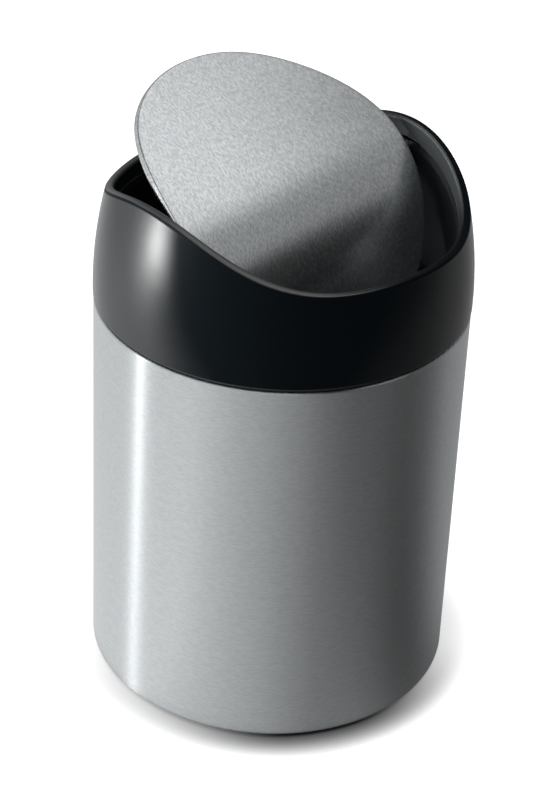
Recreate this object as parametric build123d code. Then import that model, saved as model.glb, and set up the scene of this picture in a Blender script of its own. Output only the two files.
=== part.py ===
"""Countertop bin: brushed steel body, black collar with a saddle-shaped rim, and a steel swing lid.

Millimetres, +Z up, origin at the centre of the base.  X runs along the lid's pivot axis and -Y is the
side where the lid dips into the bin.  The lid is modelled closed and turned about its axis to rest open.
"""
from build123d import *
import math
import os

# Body
body_r = 62.5               # outside of the steel sleeve
sheet = 0.6                 # steel sheet
sleeve_low = 0.9            # steel stands this far off the counter
sleeve_high = 138.2         # top of the hemmed edge
hem_width = 1.3             # the edge is folded in double
hem_depth = 4.5
hem_rounding = 0.63
foot_width = 3.6            # sheet curled inwards under the bottom pan
foot_bend = 1.3
pan_floor = 7.0             # underside of the raised bottom
pan_bend = 3.0
base_ring_width = 5.0
base_ring_inset = 1.2       # shows as a shadow line under the steel
base_ring_high = 5.5

# Collar
collar_low = 139.3          # a shadow gap separates it from the steel
collar_wall = 2.0
rim_high = 186.1            # rim above the pivots
rim_sag = 0.622             # saddle: height falls by body_r * (sag * u^2 - lift * u^4), u = y / body_r
rim_lift = 0.395
rim_rounding = 0.6          # outer corner of the rim, and of the collar's foot
lip_rounding = 1.0          # inner corner
opening_x = 52.9            # half sizes of the opening in the rim
opening_y = 56.8
squareness = 2.15           # exponent of the opening's superellipse
lip_wall = 1.6
lip_depth = 6.0             # the rim turns down into the opening this far

# Frame inside the collar
frame_inset = 0.7           # the frame stands inside the lip as a narrow ledge
ledge_width = 0.6
ledge_drop = 2.4            # the ledge slopes this much
skirt_r = 60.4              # plugs into the hemmed edge
skirt_wall = 1.8
skirt_low = 126.0
seat_gap = 0.4              # between the hem and the seat above it
web = 2.0
press = 0.05                # interference that holds frame and shell together

# Lid and pivots
pivot_z = 177.4
open_angle = 39.0
lid_x = 49.0                # half sizes of the lid
lid_y = 55.3
lid_squareness = 2.1
lid_rise = 4.9              # top of the lid above the pivot axis, at its middle
lid_bow = 0.9               # the lid's saddle as a share of the rim's
edge_depth = 2.0            # turned-down edge
edge_rounding = 0.9
edge_cutaway = 8.8          # half length of the stretch beside each pivot with hardly any edge
edge_shallow = 1.2          # what is left of it there
carrier_gap = 0.02          # the carrier slides into the skin with this clearance
carrier_plate = 1.3
rim_inset = 3.0             # a rim stands under the carrier this far from its edge
rim_deep = 1.2
pin_r = 2.0
pin_clearance = 0.05
pin_inner = 40.0            # pin ends, measured from the middle of the bin
pin_outer = 54.7
pin_chamfer = 0.4
boss_r = 4.2
boss_inner = 36.0
block_inner = 52.5
block_outer = 55.2
block_half = 6.4
block_low = -6.0            # below the pivot axis
block_high = 1.9            # above it, short of the lip
notch_inner = 49.5          # the pocket for a block opens into the bin
notch_outer = 60.0
notch_high = 10.0           # above the axis, through the top of the frame
bore_end = 0.2              # the bore stops short of the block's back
rib_y = 18.0                # two ribs cross the carrier inside its rim
rib_width = 1.4
rib_deep = 2.4
weight_x = 29.0
weight_y = 7.0
weight_rounding = 3.0
weight_high = 4.0
weight_top = -1.6           # under the pivot axis
screw_x = 22.0
screw_r = 1.2
screw_reach = 2.2           # above the weight, into its post
screw_head_r = 2.4
screw_head_high = 1.3
screw_rounding = 0.9
slot_length = 4.0           # driver slot in the head
slot_width = 0.7
slot_depth = 0.6
post_r = 3.2

# Cutting solids reach past everything that they trim
far = 80.0
tall = 220.0
deep = 130.0
skin_deep = 20.0
past = 1.0
saddle_reach = 66.0
level = 0.01                # edges within this of a height count as lying at it

UP = (Align.CENTER, Align.CENTER, Align.MIN)
SPLINE_STEPS = 8            # points a quarter turn, or half an arch
SIDE_STEPS = 6              # points up the collar's side


def ring(inner, outer, low, high):
    """A plain ring about the bin's axis."""
    height = high - low
    return Pos(0, 0, low) * (Cylinder(outer, height, align=UP) - Cylinder(inner, height, align=UP))


def block(low, high):
    """A box between two corners."""
    size = [b - a for a, b in zip(low, high)]
    return Pos(*low) * Box(*size, align=(Align.MIN, Align.MIN, Align.MIN))


def superellipse(half_x, half_y, power):
    """Plan outline of the opening and of the lid."""
    points = []
    for step in range(4 * SPLINE_STEPS):
        turn = 2 * math.pi * step / (4 * SPLINE_STEPS)
        c, s = math.cos(turn), math.sin(turn)
        x = math.copysign(abs(c) ** (2 / power), c)
        y = math.copysign(abs(s) ** (2 / power), s)
        points.append((half_x * x, half_y * y))
    return make_face(Spline(*points, periodic=True))


def prism(grow, size=(opening_x, opening_y, squareness)):
    """A tall column whose outline stands off the opening's, or another's, by grow."""
    half_x, half_y, power = size
    return extrude(superellipse(half_x + grow, half_y + grow, power), amount=tall)


def saddle(y, share=1.0):
    """How far the saddle has fallen at a distance y from the pivot axis."""
    u = y / body_r
    return share * body_r * (rim_sag * u ** 2 - rim_lift * u ** 4)


def under_saddle(top, depth, share=1.0):
    """The space under a saddle whose crest is at top, down to a flat floor or a parallel saddle."""
    ys = [saddle_reach * step / SPLINE_STEPS for step in range(-SPLINE_STEPS, SPLINE_STEPS + 1)]
    upper = [(-saddle_reach, y, top - saddle(y, share)) for y in ys]
    lower = [(x, y, z - depth) for x, y, z in upper]
    outline = Wire([
        Spline(*upper),
        Line(upper[-1], lower[-1]),
        Spline(*reversed(lower)),
        Line(lower[0], upper[0]),
    ])
    return extrude(Face(outline), amount=2 * saddle_reach, dir=(1, 0, 0))


def collar_r(z):
    """Outside radius of the collar: level with the steel at its foot, drawn in towards the rim."""
    s = (z - collar_low) / (0.75 * body_r)
    return body_r * (1.0034 + 0.0134 * s - 0.1262 * s ** 2 + 0.0027 * s ** 3)


def collar_form(inset, low, high):
    """Solid of revolution inside the collar's outer surface."""
    zs = [low + (high - low) * step / SIDE_STEPS for step in range(SIDE_STEPS + 1)]
    side = Spline(*[(collar_r(z) - inset, 0, z) for z in zs])
    outline = Wire([
        side,
        Line(side @ 1, (0, 0, high)),
        Line((0, 0, high), (0, 0, low)),
        Line((0, 0, low), side @ 0),
    ])
    return revolve(Face(outline), Axis.Z)


def turned_open(solid):
    """From the closed pose to the rest pose, about the pivot axis."""
    return solid.rotate(Axis((0, 0, pivot_z), (1, 0, 0)), open_angle)


def along_axis(radius, start, end):
    """A round bar on the pivot axis between two distances from the middle of the bin."""
    return Pos(start, 0, pivot_z) * Rot(0, 90, 0) * Cylinder(radius, end - start, align=UP)


def edges_at(solid, z):
    """The edges that lie flat at a height."""
    return solid.edges().filter_by_position(Axis.Z, z - level, z + level)


def smallest_loop(solid, above):
    """The shortest closed edge whose highest point is above a height."""
    loops = [edge for edge in solid.edges() if edge.is_closed and edge.bounding_box().max.Z > above]
    return min(loops, key=lambda edge: edge.length)


# --- Body ---

def body_sleeve():
    inner = body_r - sheet
    tube = ring(inner, body_r, sleeve_low, sleeve_high)
    hem = ring(body_r - hem_width, inner, sleeve_high - hem_depth, sleeve_high)
    foot = ring(body_r - foot_width, inner, sleeve_low, sleeve_low + sheet)
    steel = tube + hem + foot
    steel = fillet(edges_at(steel, sleeve_high), hem_rounding)
    return fillet(edges_at(steel, sleeve_low).sort_by(SortBy.LENGTH)[-1], foot_bend)


def bottom_pan():
    inner = body_r - sheet
    foot_top = sleeve_low + sheet
    outside = Pos(0, 0, foot_top) * Cylinder(inner, pan_floor + sheet - foot_top, align=UP)
    hollow = Pos(0, 0, foot_top) * Cylinder(inner - sheet, pan_floor - foot_top, align=UP)
    outside = fillet(edges_at(outside, pan_floor + sheet), pan_bend)
    return outside - fillet(edges_at(hollow, pan_floor), pan_bend - sheet)


def base_ring():
    inner = body_r - foot_width - base_ring_width
    tread = ring(inner, body_r - sheet - base_ring_inset, 0.0, sleeve_low)
    neck = ring(inner, body_r - foot_width, 0.0, base_ring_high)
    return tread + neck


# --- Collar ---

def collar_shell():
    form = collar_form(0.0, collar_low, rim_high + past) & under_saddle(rim_high, deep)
    form = fillet([edge for edge in form.edges() if edge.is_closed], rim_rounding)
    form -= prism(0.0)
    form = fillet(smallest_loop(form, rim_high - level), lip_rounding)
    hollow = collar_form(collar_wall, collar_low - past, rim_high + past)
    hollow &= under_saddle(rim_high - collar_wall, deep)
    lip = prism(lip_wall) - under_saddle(rim_high - lip_depth, deep)
    return form - (hollow - lip)


def notch(side):
    """The pocket in the frame that takes a pivot block."""
    xs = sorted((side * notch_inner, side * notch_outer))
    low = (xs[0], -block_half + press, pivot_z + block_low)
    high = (xs[1], block_half - press, pivot_z + notch_high)
    return block(low, high)


def collar_frame():
    top = rim_high - lip_depth
    hole = prism(-frame_inset)
    wall = prism(lip_wall) - hole
    wall &= under_saddle(top, deep) & block((-far, -far, collar_low), (far, far, tall))
    wall = chamfer(smallest_loop(wall, top - past), ledge_width, ledge_drop)
    shell_inside = collar_r(collar_low) - collar_wall + press
    seat_low = sleeve_high + seat_gap
    disc = Pos(0, 0, collar_low) * Cylinder(shell_inside, web, align=UP)
    seat = Pos(0, 0, seat_low) * Cylinder(body_r - sheet, collar_low - seat_low, align=UP)
    skirt = ring(skirt_r - skirt_wall, skirt_r, skirt_low, seat_low)
    frame = wall + (disc + seat - hole) + skirt
    for side in (-1, 1):
        frame -= notch(side)
    return frame


def pivot_block(side):
    """Bearing block with a blind bore for the pin."""
    xs = sorted((side * block_inner, side * block_outer))
    body = block((xs[0], -block_half, pivot_z + block_low), (xs[1], block_half, pivot_z + block_high))
    ends = sorted((side * (block_inner - past), side * (block_outer - bore_end)))
    return body - along_axis(pin_r + pin_clearance, *ends)


# --- Lid, closed ---

def lid_prism(inset=0.0):
    return prism(-inset, size=(lid_x, lid_y, lid_squareness))


def under_lid(shift, depth):
    return under_saddle(pivot_z + lid_rise - shift, depth, lid_bow)


def lid_skin():
    blank = lid_prism() & under_lid(0.0, edge_depth)
    blank = fillet(blank.edges().sort_by(Axis.Z)[-1], edge_rounding)
    inside = lid_prism(sheet) & under_lid(sheet, skin_deep)
    beside_pivots = block((-far, -edge_cutaway, 0), (far, edge_cutaway, tall))
    return blank - inside - (beside_pivots & under_lid(edge_shallow, skin_deep))


def lid_carrier():
    """Plastic plate under the skin, with a rim, two ribs, screw posts and a boss for each pin."""
    inset = sheet + carrier_gap
    plate = under_lid(inset, carrier_plate) & lid_prism(inset)
    rim = lid_prism(rim_inset) - lid_prism(rim_inset + rib_width)
    carrier = plate + (rim & under_lid(inset, carrier_plate + rim_deep))
    fill = lid_prism(inset) & under_lid(inset, skin_deep)
    for side in (-1, 1):
        xs = sorted((side * boss_inner, side * lid_x))
        boss = along_axis(boss_r, *xs)
        neck = block((xs[0], -boss_r, pivot_z), (xs[1], boss_r, pivot_z + lid_rise))
        post_low = pivot_z + weight_top
        post = Pos(side * screw_x, 0, post_low) * Cylinder(post_r, lid_rise - weight_top, align=UP)
        ys = sorted((side * rib_y, side * (rib_y + rib_width)))
        rib = block((-far, ys[0], 0), (far, ys[1], tall)) & lid_prism(rim_inset)
        carrier += (boss + neck + post) & fill
        carrier += rib & under_lid(inset, carrier_plate + rib_deep)
    for side in (-1, 1):
        carrier -= along_axis(pin_r, *sorted((side * pin_inner, side * (lid_x + past))))
        carrier -= screw_shank(side)
    return carrier


def pivot_pin(side):
    pin = along_axis(pin_r, *sorted((side * pin_inner, side * pin_outer)))
    return chamfer(pin.edges().filter_by(GeomType.CIRCLE), pin_chamfer)


def screw_shank(side):
    low = pivot_z + weight_top - weight_high
    return Pos(side * screw_x, 0, low) * Cylinder(screw_r, weight_high + screw_reach, align=UP)


def weight_screws():
    """Two identical screws from below, with rounded heads."""
    screws = []
    for side in (-1, 1):
        low = pivot_z + weight_top - weight_high - screw_head_high
        head = Pos(side * screw_x, 0, low) * Cylinder(screw_head_r, screw_head_high, align=UP)
        head = fillet(edges_at(head, low), screw_rounding)
        slot = Pos(side * screw_x, 0, low) * Box(slot_length, slot_width, 2 * slot_depth)
        screws.append(head + screw_shank(side) - slot)
    return Compound(screws)


def lid_weight():
    low = pivot_z + weight_top - weight_high
    bar = block((-weight_x, -weight_y, low), (weight_x, weight_y, low + weight_high))
    bar = fillet(bar.edges().filter_by(Axis.Z), weight_rounding)
    for side in (-1, 1):
        bar -= screw_shank(side)
    return bar


nodes = {
    "body_sleeve": body_sleeve(),
    "bottom_pan": bottom_pan(),
    "base_ring": base_ring(),
    "collar_shell": collar_shell(),
    "collar_frame": collar_frame(),
    "pivot_block_left": pivot_block(-1),
    "pivot_block_right": pivot_block(1),
    "lid_skin": turned_open(lid_skin()),
    "lid_carrier": turned_open(lid_carrier()),
    "pivot_pin_left": turned_open(pivot_pin(-1)),
    "pivot_pin_right": turned_open(pivot_pin(1)),
    "lid_weight": turned_open(lid_weight()),
    "weight_screws": turned_open(weight_screws()),
}

os.makedirs("parts", exist_ok=True)
for name, solid in nodes.items():
    export_step(solid, f"parts/{name}.step")
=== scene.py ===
"""A countertop bin: brushed steel body, satin black collar with a dipping rim, brushed steel swing lid."""
import math

import bpy
from mathutils import Matrix, Vector


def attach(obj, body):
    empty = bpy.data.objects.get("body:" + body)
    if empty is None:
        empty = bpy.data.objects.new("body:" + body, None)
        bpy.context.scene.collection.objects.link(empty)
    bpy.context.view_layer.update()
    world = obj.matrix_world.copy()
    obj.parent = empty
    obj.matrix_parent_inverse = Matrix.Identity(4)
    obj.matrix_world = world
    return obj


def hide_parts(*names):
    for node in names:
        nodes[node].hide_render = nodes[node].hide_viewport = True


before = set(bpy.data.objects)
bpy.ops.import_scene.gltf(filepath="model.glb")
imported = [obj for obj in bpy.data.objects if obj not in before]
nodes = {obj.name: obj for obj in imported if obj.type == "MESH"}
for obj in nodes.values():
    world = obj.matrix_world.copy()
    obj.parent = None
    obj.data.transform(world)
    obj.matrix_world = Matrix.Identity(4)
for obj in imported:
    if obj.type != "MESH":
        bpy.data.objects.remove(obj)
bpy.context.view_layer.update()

# Sizes are in metres. The bin stands on z = 0 about the z axis, its pivots lie along x, and -y is its front.
BODY_R = 0.0625
RIM_HIGH = 0.1861
RIM_SAG = 0.622                     # the rim's saddle: these two shape its fall to the front and the back
RIM_LIFT = 0.395
OPEN_ANGLE = math.radians(39.0)     # the lid as it rests, its back edge up
SHOWN_SIDE = math.radians(-41.75)   # the side that the bin is set up to show, turned from its front


def rim_fall(y):
    """How far the rim lies below its high points at y, which is a number or a shader value."""
    u = y / BODY_R
    return BODY_R * (RIM_SAG * u ** 2 - RIM_LIFT * u ** 4)


def rightwards(x, y):
    """How far a place is to the right of the axis, on the side shown."""
    return x * math.cos(SHOWN_SIDE) + y * math.sin(SHOWN_SIDE)


def forwards(x, y):
    """How far a place is in front of the axis, on the side shown."""
    return x * math.sin(SHOWN_SIDE) - y * math.cos(SHOWN_SIDE)


# ---------------------------------------------------------------- shader maths


class Value:
    """A shader socket that holds a number, with Python's arithmetic."""

    def __init__(self, paint, socket):
        self.paint = paint
        self.socket = socket

    def maths(self, operation, *others):
        values = [self.socket] + [other.socket if isinstance(other, Value) else other for other in others]
        node = self.paint.node("ShaderNodeMath", values, operation=operation)
        return Value(self.paint, node.outputs[0])

    def __add__(self, other):
        return self.maths("ADD", other)

    def __mul__(self, other):
        return self.maths("MULTIPLY", other)

    def __sub__(self, other):
        return self.maths("SUBTRACT", other)

    def __rsub__(self, other):
        return self.maths("MULTIPLY_ADD", -1.0, other)

    def __truediv__(self, other):
        return self.maths("DIVIDE", other)

    def __pow__(self, other):
        return self.maths("POWER", other)

    __radd__ = __add__
    __rmul__ = __mul__

    def step(self, start, end):
        """0 at start and 1 at end, smooth between them and level past them."""
        values = {"Value": self.socket, "From Min": start, "From Max": end}
        node = self.paint.node("ShaderNodeMapRange", values, interpolation_type="SMOOTHSTEP")
        return Value(self.paint, node.outputs[0])

    def swing(self, width):
        """A noise of 0 to 1 as a swing about 0, width from end to end."""
        return (self - 0.5) * width


class Paint:
    """Builds one node tree."""

    def __init__(self, tree):
        self.tree = tree
        tree.nodes.clear()

    def node(self, kind, inputs=(), **settings):
        """One node: its settings first, then values or links for its inputs, by place or by name."""
        made = self.tree.nodes.new(kind)
        for name, value in settings.items():
            if name == "stops":
                self.set_ramp(made.color_ramp, value)
            else:
                setattr(made, name, value)
        pairs = inputs.items() if isinstance(inputs, dict) else enumerate(inputs)
        for key, value in pairs:
            value = value.socket if isinstance(value, Value) else value
            if isinstance(value, bpy.types.NodeSocket):
                self.tree.links.new(value, made.inputs[key])
            elif value is not None:
                made.inputs[key].default_value = value
        return made

    def set_ramp(self, ramp, stops):
        while len(ramp.elements) < len(stops):
            ramp.elements.new(1.0)
        for element, (place, colour) in zip(ramp.elements, stops):
            element.position = place
            element.color = colour

    def axes(self, vector):
        parts = self.node("ShaderNodeSeparateXYZ", [vector])
        return [Value(self, socket) for socket in parts.outputs]

    def vector(self, *parts):
        return self.node("ShaderNodeCombineXYZ", list(parts)).outputs[0]

    def place(self):
        """The point on the piece, in metres, in the bin's own frame."""
        return self.node("ShaderNodeTexCoord").outputs["Object"]

    def normal(self):
        """The way out of the surface."""
        return self.node("ShaderNodeNewGeometry").outputs["Normal"]

    def noise(self, vector, scale=1.0, detail=2.0):
        values = {"Vector": vector, "Scale": scale, "Detail": detail}
        return Value(self, self.node("ShaderNodeTexNoise", values).outputs["Fac"])

    def blend(self, share, first, second):
        """Mixes two colours."""
        made = self.node("ShaderNodeMix", {0: share, 6: first, 7: second}, data_type="RGBA")
        return made.outputs[2]

    def bump(self, height, distance):
        return self.node("ShaderNodeBump", {"Height": height, "Distance": distance}).outputs["Normal"]


def grey(level):
    return (level, level, level, 1.0)


def shaded(colour, factor):
    return tuple(channel * factor for channel in colour[:3]) + (1.0,)


def material(build):
    """A material named after build, whose surface is what build(paint) returns."""
    made = bpy.data.materials.new(build.__name__)
    made.use_nodes = True
    paint = Paint(made.node_tree)
    paint.node("ShaderNodeOutputMaterial", {"Surface": build(paint)})
    return made


def principled(paint, **sockets):
    values = {name.replace("_", " "): value for name, value in sockets.items()}
    return paint.node("ShaderNodeBsdfPrincipled", values).outputs["BSDF"]


# ---------------------------------------------------------------- steel

STEEL = (0.785, 0.818, 0.832, 1.0)
STEEL_DARK = (0.540, 0.563, 0.573, 1.0)
ROLLED_STEEL = (0.60, 0.62, 0.63, 1.0)
ZINC = (0.52, 0.54, 0.56, 1.0)
TURNED_STEEL = (0.66, 0.67, 0.68, 1.0)

LINES_PER_METRE = 2100.0        # hairlines, across the brushing
BODY_STROKES = 450.0            # and how often in a metre they change along it
LID_STROKES = 750.0
LONGER = 3                      # broad lines lie under the fine ones, this much longer
WIDER = 4                       # and wider
FINE_SHARE = 0.85               # of the colour
LINE_SHADES = (0.35, 0.65)      # the noise that gives the darkest line and the palest
LINE_GLOSS = 0.03               # how much the roughness swings with the fine lines
BROAD_GLOSS = 0.02              # and with the broad ones
ACROSS_THE_LINES = 0.25         # the sheen's turn, as a share of a full turn

SEAM_HALF = (0.0003, 0.0009)    # the sleeve's weld, down the back
SEAM_FRONT = (0.058, 0.061)
SEAM_DULLS = 0.10               # it is rougher
SEAM_FADES = 0.27               # and its lines are fainter

MOTTLE_SHADES = (0.25, 0.75)    # unbrushed steel: darker and duller patches
MOTTLE_DARK = 0.80
MOTTLE_GLOSS = 0.16
SCUFFS_FINER = 12               # and scuffs, so many times finer than the patches
SCUFF_SHADES = (0.62, 0.70)
SCUFF_DULLS = 0.10

RINGS_PER_METRE = 9000          # a pin's turning marks, along its axis
RING_STROKES = 40
RING_SHADES = (0.3, 0.7)
RING_GLOSS = 0.12


def hairlines(paint, along, across, third, strokes):
    """Two noises drawn out along the brushing: fine lines, and broader ones."""
    fine = paint.vector(along * strokes, across * LINES_PER_METRE, third * strokes)
    broad = paint.vector(along * strokes / LONGER, across * LINES_PER_METRE / WIDER, third * strokes / LONGER)
    return paint.noise(fine, detail=3.0), paint.noise(broad)


def brushed(paint, fine, broad, roughness, depth, contrast, spread):
    """Steel with hairlines: contrast is how much they show, spread how far they draw the sheen out."""
    lines = (fine * FINE_SHARE + broad * (1 - FINE_SHARE)).step(*LINE_SHADES)
    lines = lines * contrast + (1 - contrast) / 2
    rough = roughness + broad.swing(BROAD_GLOSS) + fine.swing(LINE_GLOSS)
    return principled(paint, Base_Color=paint.blend(lines, STEEL_DARK, STEEL), Metallic=1.0, Roughness=rough,
                      Anisotropic=spread, Anisotropic_Rotation=ACROSS_THE_LINES,
                      Normal=paint.bump(fine, depth))


def body_steel(paint):
    """Brushed round the body: the lines are level."""
    x, y, z = paint.axes(paint.place())
    fine, broad = hairlines(paint, x, z, y, BODY_STROKES)
    seam = (1 - x.maths("ABSOLUTE").step(*SEAM_HALF)) * y.step(*SEAM_FRONT)
    return brushed(paint, fine, broad, roughness=0.36 + seam * SEAM_DULLS, depth=0.0000015,
                   contrast=0.33 - seam * SEAM_FADES, spread=1.0)


def lid_steel(paint):
    """Brushed from the lid's back edge to its front, square to the pivots."""
    x, y, z = paint.axes(paint.place())
    along = y * math.cos(OPEN_ANGLE) + z * math.sin(OPEN_ANGLE)
    third = z * math.cos(OPEN_ANGLE) - y * math.sin(OPEN_ANGLE)
    fine, broad = hairlines(paint, along, x, third, LID_STROKES)
    return brushed(paint, fine, broad, roughness=0.22, depth=0.0000004, contrast=1.0, spread=0.62)


def plate_steel(paint, colour, roughness, scale):
    """Steel with no brushing: a soft mottle and a few fine scuffs."""
    place = paint.place()
    mottle = paint.noise(place, scale=scale, detail=4.0)
    scuffs = paint.noise(place, scale=scale * SCUFFS_FINER).step(*SCUFF_SHADES)
    colour = paint.blend(mottle.step(*MOTTLE_SHADES), shaded(colour, MOTTLE_DARK), colour)
    return principled(paint, Base_Color=colour, Metallic=1.0,
                      Roughness=roughness + mottle.swing(MOTTLE_GLOSS) + scuffs * SCUFF_DULLS,
                      Normal=paint.bump(mottle, 0.00002))


def pan_steel(paint):
    return plate_steel(paint, ROLLED_STEEL, roughness=0.34, scale=140)


def weight_steel(paint):
    """A zinc-plated bar."""
    return plate_steel(paint, ZINC, roughness=0.42, scale=260)


def screw_steel(paint):
    return plate_steel(paint, TURNED_STEEL, roughness=0.24, scale=700)


def pin_steel(paint):
    """Turned pins: fine rings round the axis."""
    x, y, z = paint.axes(paint.place())
    rings = paint.noise(paint.vector(x * RINGS_PER_METRE, y * RING_STROKES, z * RING_STROKES))
    colour = paint.blend(rings.step(*RING_SHADES), STEEL_DARK, STEEL)
    return principled(paint, Base_Color=colour, Metallic=1.0, Roughness=0.16 + rings.swing(RING_GLOSS),
                      Normal=paint.bump(rings, 0.000004))


# ---------------------------------------------------------------- plastic and rubber

BLACK = (0.0030, 0.0048, 0.0062, 1.0)
# painted light: the lit part of the wall inside the rim
INSIDE_PAINTED_LIGHT = (0.066, 0.072, 0.075, 1.0)
BLACK_FRAME = (0.0045, 0.0056, 0.0064, 1.0)
# painted light on the frame's ledge
LEDGE_PAINTED_LIGHT = (0.170, 0.181, 0.189, 1.0)
BLOCK_BLACK = (0.0100, 0.0105, 0.0110, 1.0)
RUBBER = (0.0120, 0.0120, 0.0125, 1.0)

# The collar outside: the gloss of its coat rises as it turns away, where Facing goes from 0 to 1
SATIN_STARTS = (0.19, 0.40)
SATIN_GLOSS = 0.46
SATIN_RISES = (0.60, 0.95)
SATIN_MORE = 0.20
SATIN_ENDS = (-0.0012, -0.0008)     # under the rim's saddle: a matt line parts the satin from the smooth rim

# The rim's top face: glossier towards its outer edge, and dull on the right
SMOOTH_STARTS = (-0.0002, -0.00005)
RIM_GLOSS = 0.30
RIM_EDGE_GLOSS = 0.75
RIM_BAND = (0.0567, 0.0592)         # its inner and outer edges where it is at RIM_LEVEL
RIM_LEVEL = 0.1726
RIM_TAPER = 0.26                    # and it is this much narrower for each metre higher
RIM_DULLS = (0.010, 0.040)

# The wall inside the rim, and the frame's ledge under it, both with painted light
INWARDS = (0.0, -0.3)               # how far a face looks at the axis
INSIDE_GLOSS = 0.1
PAINTED_LIGHT_STARTS = (-0.048, -0.030)             # painted light on both, away from the front
PAINTED_LIGHT_ENDS = (-0.006, 0.012)            # and the wall's painted light fades again at the back
# how much of the wall's painted light fades at the back
WALL_LIGHT_FADES = 0.75
PAINTED_LIGHT_FACES_UP = (0.5, 0.9)            # where the ledge looks up, it gets painted light

GRAIN_GLOSS = 0.16                  # how much the roughness swings with the grain
UNEVEN_GLOSS = 0.04                 # and with a soft mottle
GRAIN_COAT = 0.44                   # and the coat's weight, with the same two
UNEVEN_COAT = 0.08

PLASTIC_PALE = 1.5
PLASTIC_SHADES = (0.3, 0.7)
PLASTIC_MOTTLE_GLOSS = 0.10
PLASTIC_SPARK_GLOSS = 0.12


def moulded(paint, colour, roughness, coat):
    """Black plastic with a very fine grain; the coat carries the gloss."""
    grain = paint.noise(paint.place(), scale=2600)
    mottle = paint.noise(paint.place(), scale=90, detail=3.0)
    rough = roughness + mottle.swing(UNEVEN_GLOSS) + grain.swing(GRAIN_GLOSS)
    weight = coat * (1 + grain.swing(GRAIN_COAT)) * (1 + mottle.swing(UNEVEN_COAT))
    return principled(paint, Base_Color=colour, Roughness=rough, Specular_IOR_Level=0.02, Coat_Weight=weight,
                      Coat_Roughness=0.29, Coat_IOR=2.0, Normal=paint.bump(grain, 0.00004))


def satin_black(paint):
    """The collar: satin outside, more so where it turns away, smooth at the rim, and plain inside but for
    painted light on the wall.
    """
    x, y, z = paint.axes(paint.place())
    rise = z - RIM_HIGH + rim_fall(y)
    facing = Value(paint, paint.node("ShaderNodeLayerWeight", {"Blend": 0.5}).outputs["Facing"])
    satin = facing.step(*SATIN_STARTS) * (SATIN_GLOSS + SATIN_MORE * facing.step(*SATIN_RISES))
    satin = satin * (1 - rise.step(*SATIN_ENDS))
    outer = ((x * x + y * y) ** 0.5 + (z - RIM_LEVEL) * RIM_TAPER).step(*RIM_BAND)
    rim = rise.step(*SMOOTH_STARTS) * (RIM_GLOSS + RIM_EDGE_GLOSS * outer)
    rim = rim * (1 - rightwards(x, y).step(*RIM_DULLS))
    out_x, out_y, _ = paint.axes(paint.normal())
    inside = ((out_x * x + out_y * y) / BODY_R).step(*INWARDS)
    coat = satin * (1 - inside) + rim + inside * INSIDE_GLOSS
    # painted light on the wall inside the rim: paler away from the front, darker again at the back
    painted_light = inside * y.step(*PAINTED_LIGHT_STARTS) * (1 - WALL_LIGHT_FADES * y.step(*PAINTED_LIGHT_ENDS))
    return moulded(paint, paint.blend(painted_light, BLACK, INSIDE_PAINTED_LIGHT), roughness=0.42, coat=coat)


def plastic(paint, colour, roughness, scale, depth, ledge=None):
    """Plain moulded plastic: spark texture, a soft unevenness of gloss, and painted light on any ledge."""
    texture = paint.noise(paint.place(), scale=scale)
    mottle = paint.noise(paint.place(), scale=70, detail=3.0)
    colour = paint.blend(mottle.step(*PLASTIC_SHADES), colour, shaded(colour, PLASTIC_PALE))
    # painted light on the ledge
    if ledge is not None:
        colour = paint.blend(ledge, colour, LEDGE_PAINTED_LIGHT)
    rough = roughness + mottle.swing(PLASTIC_MOTTLE_GLOSS) + texture.swing(PLASTIC_SPARK_GLOSS)
    return principled(paint, Base_Color=colour, Roughness=rough, Specular_IOR_Level=0.35,
                      Normal=paint.bump(texture, depth))


def frame_black(paint):
    """The insert: near black, with painted light on its narrow ledge where it looks up."""
    y = paint.axes(paint.place())[1]
    up = paint.axes(paint.normal())[2]
    # painted light: faces that look up, away from the front
    ledge = up.step(*PAINTED_LIGHT_FACES_UP) * y.step(*PAINTED_LIGHT_STARTS)
    return plastic(paint, BLACK_FRAME, roughness=0.46, scale=2200, depth=0.00002, ledge=ledge)


def carrier_black(paint):
    return plastic(paint, BLACK_FRAME, roughness=0.38, scale=1600, depth=0.00002)


def block_black(paint):
    return plastic(paint, BLOCK_BLACK, roughness=0.30, scale=3000, depth=0.000008)


def foot_rubber(paint):
    return plastic(paint, RUBBER, roughness=0.72, scale=900, depth=0.00005)


FINISHES = (
    (body_steel, ["body_sleeve"]),
    (satin_black, ["collar_shell"]),
    (frame_black, ["collar_frame"]),
    (carrier_black, ["lid_carrier"]),
    (block_black, ["pivot_block_left", "pivot_block_right"]),
    (foot_rubber, ["base_ring"]),
    (pan_steel, ["bottom_pan"]),
    (weight_steel, ["lid_weight"]),
    (screw_steel, ["weight_screws"]),
    (pin_steel, ["pivot_pin_left", "pivot_pin_right"]),
)


def finish_nodes():
    """Every CAD node that stays gets its finish."""
    for finish, names in FINISHES:
        made = material(finish)
        for name in names:
            for slot in nodes[name].material_slots:
                slot.material = made


# ---------------------------------------------------------------- camera

CAMERA_DISTANCE = 0.8183
CAMERA_ELEVATION = math.radians(32.52)
CAMERA_ROLL = math.radians(2.672)
CAMERA_AIM = Vector((-0.0019, 0.0017, 0.0962))
LENS = 108.4                    # in millimetres, as the sensor's width is
SENSOR = 36.0


def link(obj):
    bpy.context.scene.collection.objects.link(obj)
    return obj


def towards(azimuth, elevation):
    """Unit vector from the bin to a place round it; both angles in radians, the azimuth from its front."""
    level = math.cos(elevation)
    return Vector((math.sin(azimuth) * level, -math.cos(azimuth) * level, math.sin(elevation)))


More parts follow.
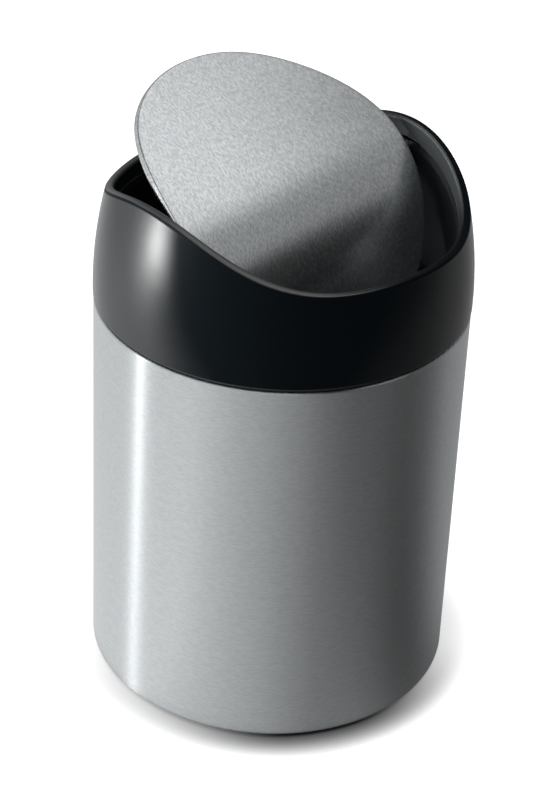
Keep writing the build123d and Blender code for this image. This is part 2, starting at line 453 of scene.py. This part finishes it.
def make_camera():
    data = bpy.data.cameras.new("camera")
    data.lens = LENS
    data.sensor_width = SENSOR
    data.clip_start = 0.01
    camera = link(bpy.data.objects.new("camera", data))
    back = towards(SHOWN_SIDE, CAMERA_ELEVATION)
    right = Vector((math.cos(SHOWN_SIDE), math.sin(SHOWN_SIDE), 0))
    up = back.cross(right)
    turn = Matrix.Rotation(CAMERA_ROLL, 3, back)
    axes = Matrix((turn @ right, turn @ up, back)).transposed()
    camera.matrix_world = Matrix.Translation(CAMERA_AIM + CAMERA_DISTANCE * back) @ axes.to_4x4()
    bpy.context.scene.camera = camera


# ---------------------------------------------------------------- lights and world

BODY_MIDDLE = (0, 0, 0.12)
COLLAR_MIDDLE = (0, 0, 0.15)
WHITE = 1.0
AMBIENT = 0.55                  # the level of the world as a light


def area_light(name, azimuth, elevation, distance, size, power, aim=BODY_MIDDLE):
    """A soft light, placed by degrees from the side shown; the left is negative."""
    data = bpy.data.lights.new(name, "AREA")
    data.shape = "RECTANGLE"
    data.size, data.size_y = size
    data.energy = power
    light = link(bpy.data.objects.new(name, data))
    way = towards(SHOWN_SIDE + math.radians(azimuth), math.radians(elevation))
    light.location = Vector(aim) + distance * way
    light.rotation_mode = "QUATERNION"
    light.rotation_quaternion = way.to_track_quat("Z", "Y")
    return light


def light_only(light, *names):
    """Keeps a light to a few nodes, as through a flag."""
    lit = bpy.data.collections.new(light.name + "_lit")
    for name in names:
        lit.objects.link(nodes[name])
    light.light_linking.receiver_collection = lit


def make_lights():
    """A strip for the body's highlight, a big soft top light, and two boxes for the black collar alone."""
    area_light("strip", azimuth=-82.5, elevation=8, distance=1.2, size=(0.07, 0.45), power=1.7)
    area_light("top", azimuth=-70, elevation=62, distance=1.8, size=(1.5, 1.5), power=8.0)
    near_box = area_light("collar_box", azimuth=-72, elevation=0.5, distance=0.40, size=(0.10, 0.09),
                          power=1.9, aim=COLLAR_MIDDLE)
    light_only(near_box, "collar_shell")
    side_box = area_light("side_box", azimuth=-100, elevation=24, distance=1.2, size=(0.50, 0.30), power=9.0)
    light_only(side_box, "collar_shell", "collar_frame")


def make_world():
    """White wherever it is seen, also in gloss or through glass, and dimmer as a light."""
    world = bpy.data.worlds.new("studio")
    world.use_nodes = True
    bpy.context.scene.world = world
    paint = Paint(world.node_tree)
    rays = paint.node("ShaderNodeLightPath").outputs
    seen = Value(paint, rays["Is Camera Ray"])
    seen = seen + Value(paint, rays["Is Glossy Ray"]) + Value(paint, rays["Is Transmission Ray"])
    level = paint.blend(seen, grey(AMBIENT), grey(WHITE))
    background = paint.node("ShaderNodeBackground", {"Color": level})
    paint.node("ShaderNodeOutputWorld", {"Surface": background.outputs[0]})


# ---------------------------------------------------------------- floor

FLOOR_HALF = 4.0
FLOOR_PALE = 0.80
FLOOR_SHADED = 0.05
FLOOR_GLOW = 0.75               # on top of the light it catches, so that it is seen as white
CONTACT_REACH = 0.0125          # the contact shadow: how near the bin has to be
CONTACT_DEEPENS = 4.5
SHADE_BEHIND = 0.30             # it is full in front and this faint at the sides and behind
SHADE_GROWS = (0.000, 0.055)
SHADE_LEFT = 0.5                # and half as strong on the left
SHADE_RIGHT = (-0.050, 0.010)


def floor_white(paint):
    """A white floor that keeps the bin's contact shadow."""
    seen = Value(paint, paint.node("ShaderNodeLightPath").outputs["Is Camera Ray"])
    x, y, _ = paint.axes(paint.place())
    shade = SHADE_BEHIND + (1 - SHADE_BEHIND) * forwards(x, y).step(*SHADE_GROWS)
    shade = shade * (SHADE_LEFT + (1 - SHADE_LEFT) * rightwards(x, y).step(*SHADE_RIGHT))
    near = paint.node("ShaderNodeAmbientOcclusion", {"Distance": CONTACT_REACH}).outputs["AO"]
    open_sky = 1 - (1 - Value(paint, near) ** CONTACT_DEEPENS) * shade
    glow = paint.blend(seen * open_sky, grey(0.0), grey(FLOOR_GLOW))
    return principled(paint, Base_Color=paint.blend(open_sky, grey(FLOOR_SHADED), grey(FLOOR_PALE)),
                      Roughness=0.9, Specular_IOR_Level=0.0, Emission_Color=glow, Emission_Strength=1.0)


def make_floor():
    half = FLOOR_HALF
    corners = [(-half, -half, 0), (half, -half, 0), (half, half, 0), (-half, half, 0)]
    mesh = bpy.data.meshes.new("floor")
    mesh.from_pydata(corners, [], [(0, 1, 2, 3)])
    floor = link(bpy.data.objects.new("floor", mesh))
    mesh.materials.append(material(floor_white))


# ---------------------------------------------------------------- sweep

# The graded sweep stands round the bin and over it. This is its section, by radius and height.
SWEEP_SECTION = ((0.064, 0.0004), (0.30, 0.0004), (0.70, 0.0004), (0.95, 0.06), (1.12, 0.26), (1.2, 0.6),
                 (1.15, 1.0), (1.0, 1.3), (0.75, 1.55), (0.40, 1.68), (0.02, 1.7))
SWEEP_SIDES = 96
EYE = (0.0, 0.0, 0.16)          # directions in it are taken from the lid

# Tones of the floor and the wall by bearing from the side shown, in degrees; the left is negative
FLOOR_TONES = ((-180, 0.85), (-150, 1.42), (-85, 1.40), (-40, 0.93), (0, 0.49), (35, 0.24), (72, 0.085),
               (105, 0.28), (140, 0.47), (180, 0.85))
WALL_TONES = ((-180, 0.32), (-150, 0.40), (-120, 0.66), (-60, 0.60), (-20, 0.22), (20, 0.12), (60, 0.04),
              (95, 0.04), (112, 0.28), (150, 0.28), (180, 0.32))
# and of the sky by a direction's x, from -1 at the pivots' left end to 1 at their right
SKY_TONES = ((-1.0, 1.5), (-0.40, 2.0), (-0.24, 0.30), (0.18, 0.30), (0.38, 1.45), (0.56, 0.86), (0.66, 0.70),
             (0.76, 0.74), (0.88, 0.50), (1.0, 0.40))

# Where one gives way to the next, by the sine of the elevation
WALL_STARTS = (-0.37, -0.22)
WALL_TOPS = (0.39, 0.46)
SKY_STARTS = (0.66, 0.84)       # the full sky: under it lies a haze
HAZE = 0.38                     # as a share of the tone overhead
SKY_OPEN = (-0.1, -0.4)         # but no haze on the left
BEHIND = (0.1, 0.6)
WALL_BEHIND = 0.30              # the wall stands this much higher behind
SKY_BEHIND = 0.15               # and the full sky starts this much lower


def tone_ramp(paint, place, tones, lowest, span):
    """A ramp of greys from a table of places, which run over a span from the lowest."""
    stops = [((where - lowest) / span, grey(tone)) for where, tone in tones]
    ramp = paint.node("ShaderNodeValToRGB", [place], stops=stops)
    ramp.color_ramp.interpolation = "CARDINAL"
    return ramp.outputs[0]


def sweep_tone(paint):
    """Light on the left and overhead, dark on the right and low behind."""
    place = paint.node("ShaderNodeVectorMath", [paint.place(), EYE], operation="SUBTRACT").outputs[0]
    way = paint.node("ShaderNodeVectorMath", [place], operation="NORMALIZE").outputs[0]
    x, y, height = paint.axes(way)
    bearing = x.maths("ARCTAN2", y * -1.0) * (1 / math.tau) - SHOWN_SIDE / math.tau
    turn = (bearing + 1.5).maths("FRACT")       # 0 to 1 round the bin, with the side shown at a half
    floor = tone_ramp(paint, turn, FLOOR_TONES, -180, 360)
    wall = tone_ramp(paint, turn, WALL_TONES, -180, 360)
    sky = tone_ramp(paint, x * 0.5 + 0.5, SKY_TONES, -1, 2)
    behind = y.step(*BEHIND)
    side = paint.blend(height.step(*WALL_STARTS), floor, wall)
    open_sky = (height + behind * SKY_BEHIND).step(*SKY_STARTS).maths("MAXIMUM", x.step(*SKY_OPEN))
    sky = paint.blend(HAZE + (1 - HAZE) * open_sky, grey(0.0), sky)
    colour = paint.blend((height - behind * WALL_BEHIND).step(*WALL_TOPS), side, sky)
    return paint.node("ShaderNodeEmission", {"Color": colour}).outputs[0]


def grid_faces(rows, sides):
    """Faces between rings of points that follow each other, each ring closed."""
    faces = []
    for row in range(rows - 1):
        for side in range(sides):
            a, b = row * sides + side, row * sides + (side + 1) % sides
            faces.append((a, a + sides, b + sides, b))
    return faces


def make_sweep():
    """The sweep, seen only in reflections."""
    points = []
    for radius, height in SWEEP_SECTION:
        for side in range(SWEEP_SIDES):
            way = math.tau * side / SWEEP_SIDES
            points.append((radius * math.cos(way), radius * math.sin(way), height))
    mesh = bpy.data.meshes.new("sweep")
    mesh.from_pydata(points, [], grid_faces(len(SWEEP_SECTION), SWEEP_SIDES))
    sweep = link(bpy.data.objects.new("sweep", mesh))
    mesh.materials.append(material(sweep_tone))
    sweep.visible_camera = False
    sweep.visible_diffuse = False
    sweep.visible_shadow = False


# ---------------------------------------------------------------- lid skin

# The lid is drawn closed about its pivot axis, then turned by OPEN_ANGLE
PIVOT = Vector((0, 0, 0.1774))
LID_HALF_X = 0.0490
LID_HALF_Y = 0.0553
LID_POWER = 2.1                 # of the superellipse that is its outline
LID_RISE = 0.0049               # its middle above the pivot axis, without the crown
LID_BOW = 0.9                   # its saddle as a share of the rim's
LID_CROWN = 0.0020              # the sheet swells this much in the middle
LID_SHEET = 0.0006
EDGE_ROUNDING = 0.0009
EDGE_DEPTH = 0.0020
EDGE_SHALLOW = 0.0012           # beside the pivots, where it is cut away
EDGE_CUT = 0.0088
EDGE_BLEND = 0.0007
EDGE_LIP = 0.00012              # the fine rounding of the sheet's cut edge
EDGE_STEPS = 7
LID_SIDES = 480
LID_SPANS = 40

# A mesh's sheen runs in circles about the middle of its texture space: with that far off, it runs straight
SHEEN_MIDDLE = (-1000.0, 0.0, 0.0)
SHEEN_SIZE = (1.0, 1.0, 1.0)


def superellipse(turn):
    """A point on the lid's outline in plan, and the way out from it."""
    c, s = math.cos(turn), math.sin(turn)
    x = LID_HALF_X * math.copysign(abs(c) ** (2 / LID_POWER), c)
    y = LID_HALF_Y * math.copysign(abs(s) ** (2 / LID_POWER), s)
    out_x = math.copysign(abs(x / LID_HALF_X) ** (LID_POWER - 1) / LID_HALF_X, x)
    out_y = math.copysign(abs(y / LID_HALF_Y) ** (LID_POWER - 1) / LID_HALF_Y, y)
    return Vector((x, y)), Vector((out_x, out_y)).normalized()


def lid_place(plan, below):
    """A point of the lid by its plan and its depth under the crowned top, turned open."""
    crown = LID_CROWN * (1 - (plan.x / LID_HALF_X) ** 2) * (1 - (plan.y / LID_HALF_Y) ** 2)
    z = LID_RISE - LID_BOW * rim_fall(plan.y) + crown - below
    c, s = math.cos(OPEN_ANGLE), math.sin(OPEN_ANGLE)
    return PIVOT + Vector((plan.x, plan.y * c - z * s, plan.y * s + z * c))


def edge_depth(y):
    """The turned-down edge is deep all round and shallow beside the pivots."""
    t = min(max((abs(y) - EDGE_CUT) / EDGE_BLEND, 0.0), 1.0)
    return EDGE_SHALLOW + (EDGE_DEPTH - EDGE_SHALLOW) * t * t * (3 - 2 * t)


def edge_section(y):
    """Inset and depth of the section at the edge, from the top face round to the underside."""
    deep = edge_depth(y)
    rows = []
    for step in range(EDGE_STEPS + 1):
        angle = math.pi / 2 * step / EDGE_STEPS
        rows.append((EDGE_ROUNDING * (1 - math.sin(angle)), EDGE_ROUNDING * (1 - math.cos(angle))))
    rows.append((0.0, deep - EDGE_LIP))
    rows.append((EDGE_LIP, deep))
    rows.append((LID_SHEET - EDGE_LIP, deep))
    rows.append((LID_SHEET, deep - EDGE_LIP))
    rows.append((LID_SHEET, LID_SHEET + EDGE_LIP))
    rows.append((LID_SHEET + EDGE_LIP, LID_SHEET))
    return rows


def face_ring(outline, share, below):
    """A ring on the top or the underside: the outline inside its rounding, drawn in to a share."""
    return [lid_place((point - out * EDGE_ROUNDING) * share, below) for point, out in outline]


def make_lid():
    """The lid's steel skin as rings of points, from the crown over the edge and back underneath."""
    outline = [superellipse(math.tau * side / LID_SIDES) for side in range(LID_SIDES)]
    shares = [span / LID_SPANS for span in range(1, LID_SPANS)]
    rings = [face_ring(outline, share, 0.0) for share in shares]
    sections = [edge_section(point.y) for point, out in outline]
    for row in range(len(sections[0])):
        rings.append([lid_place(point - out * section[row][0], section[row][1])
                      for (point, out), section in zip(outline, sections)])
    rings += [face_ring(outline, share, LID_SHEET) for share in reversed(shares)]
    points = [point for ring in rings for point in ring]
    faces = grid_faces(len(rings), LID_SIDES)
    top, under = len(points), len(points) + 1
    points += [lid_place(Vector((0, 0)), 0.0), lid_place(Vector((0, 0)), LID_SHEET)]
    last = top - LID_SIDES
    for side in range(LID_SIDES):
        after = (side + 1) % LID_SIDES
        faces.append((top, side, after))
        faces.append((under, last + after, last + side))
    mesh = bpy.data.meshes.new("lid_skin_brushed")
    mesh.from_pydata(points, [], faces)
    mesh.shade_smooth()
    mesh.use_auto_texspace = False
    mesh.texspace_location = SHEEN_MIDDLE
    mesh.texspace_size = SHEEN_SIZE
    lid = link(bpy.data.objects.new("lid_skin_brushed", mesh))
    mesh.materials.append(material(lid_steel))
    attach(lid, "lid")
    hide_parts("lid_skin")


make_camera()
make_world()
make_floor()
make_sweep()
make_lights()
make_lid()
finish_nodes()

bpy.context.scene.view_settings.view_transform = "Standard"
